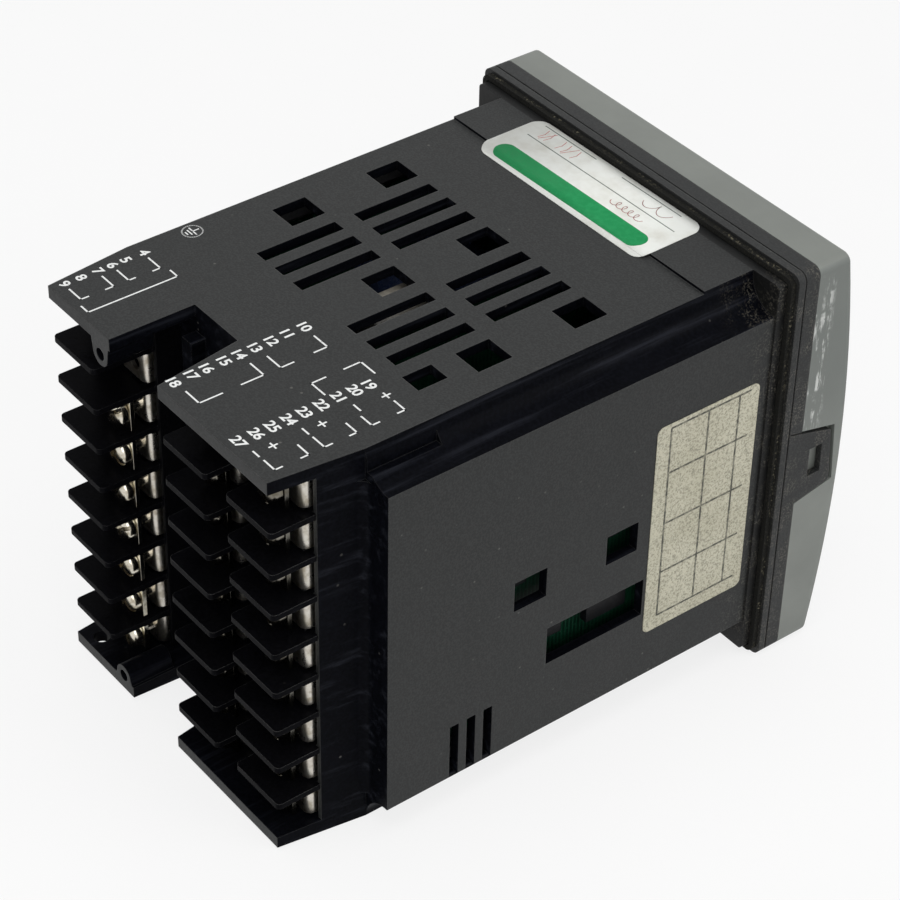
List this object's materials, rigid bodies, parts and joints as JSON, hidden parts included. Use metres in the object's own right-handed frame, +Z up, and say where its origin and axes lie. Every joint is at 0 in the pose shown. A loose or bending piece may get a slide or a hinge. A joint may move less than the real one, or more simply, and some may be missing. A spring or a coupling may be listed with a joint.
{
  "type": "panel mounted temperature controller",
  "caption": "Square panel controller with a grey bezel, vented black case and finned screw terminals at the rear; the chassis slides out with the bezel.",
  "frame": {"origin": "centre of the panel face, on the rear face of the flange", "axes": "+Y rearwards through the panel along the case, +Z up, +X to the right of a user who faces the bezel; the bezel faces -Y"},
  "size_m": [0.096, 0.1316, 0.096],
  "materials": {
    "case_plastic": "fine moulded texture",
    "terminal_plastic": "fine moulded texture",
    "bezel_plastic": "satin grey moulding",
    "gasket_foam": "dusty foam",
    "plate_nickel": "nickel plated strip",
    "washer_nickel": "nickel plated",
    "screw_nickel": "nickel plated",
    "sticker_paper": "paper",
    "label_paper": "aged paper",
    "window_tint": "tinted lens",
    "display_black": "filled epoxy",
    "key_rubber": "soft touch",
    "mat_rubber": "silicone rubber",
    "seal_rubber": "closed cell foam",
    "frame_plastic": "moulded",
    "frame_screw_steel": "zinc plated",
    "circuit_board": "solder resist",
    "chip_plastic": "moulded epoxy",
    "relay_plastic": "moulded",
    "core_steel": "varnished laminations",
    "winding_tape": "taped winding",
    "capacitor_sleeve": "printed sleeve",
    "sink_aluminium": "extruded",
    "connector_plastic": "moulded"
  },
  "bodies": {
    "case": {"case": "case_plastic", "panel_gasket": "gasket_foam", "terminal_block_left": "terminal_plastic", "terminal_block_right": "terminal_plastic", "terminal_plates": "plate_nickel", "square_washers": "washer_nickel", "terminal_screws": "screw_nickel", "top_sticker": "sticker_paper", "side_label": "label_paper"},
    "chassis": {"front_bezel": "bezel_plastic", "display_window": "window_tint", "display_upper": "display_black", "display_lower": "display_black", "keypad_mat": "mat_rubber", "display_board": "circuit_board", "bezel_seal": "seal_rubber", "chassis_frame": "frame_plastic", "frame_screws": "frame_screw_steel", "processor_board": "circuit_board", "processor_chips": "chip_plastic", "power_board": "circuit_board", "option_board": "circuit_board", "option_chips": "chip_plastic", "relays": "relay_plastic", "transformer_core": "core_steel", "transformer_winding": "winding_tape", "capacitors": "capacitor_sleeve", "heat_sink": "sink_aluminium", "rear_board": "circuit_board", "board_connectors": "connector_plastic"},
    "key_1": {"key_1": "key_rubber"},
    "key_2": {"key_2": "key_rubber"},
    "key_3": {"key_3": "key_rubber"},
    "key_4": {"key_4": "key_rubber"},
    "key_5": {"key_5": "key_rubber"},
    "key_6": {"key_6": "key_rubber"},
    "key_7": {"key_7": "key_rubber"},
    "key_8": {"key_8": "key_rubber"}
  },
  "joints": [
    {"name": "chassis_slide", "type": "slide", "parent": "case", "child": "chassis", "axis": [0, -1, 0], "range_m": [0, 0.094]},
    {"name": "key_1_press", "type": "slide", "parent": "chassis", "child": "key_1", "axis": [0, 1, 0], "range_m": [0, 0.0008], "stiffness_N_per_m": 1500},
    {"name": "key_2_press", "type": "slide", "parent": "chassis", "child": "key_2", "axis": [0, 1, 0], "range_m": [0, 0.0008], "stiffness_N_per_m": 1500},
    {"name": "key_3_press", "type": "slide", "parent": "chassis", "child": "key_3", "axis": [0, 1, 0], "range_m": [0, 0.0008], "stiffness_N_per_m": 1500},
    {"name": "key_4_press", "type": "slide", "parent": "chassis", "child": "key_4", "axis": [0, 1, 0], "range_m": [0, 0.0008], "stiffness_N_per_m": 1500},
    {"name": "key_5_press", "type": "slide", "parent": "chassis", "child": "key_5", "axis": [0, 1, 0], "range_m": [0, 0.0008], "stiffness_N_per_m": 1500},
    {"name": "key_6_press", "type": "slide", "parent": "chassis", "child": "key_6", "axis": [0, 1, 0], "range_m": [0, 0.0008], "stiffness_N_per_m": 1500},
    {"name": "key_7_press", "type": "slide", "parent": "chassis", "child": "key_7", "axis": [0, 1, 0], "range_m": [0, 0.0008], "stiffness_N_per_m": 1500},
    {"name": "key_8_press", "type": "slide", "parent": "chassis", "child": "key_8", "axis": [0, 1, 0], "range_m": [0, 0.0008], "stiffness_N_per_m": 1500}
  ]
}
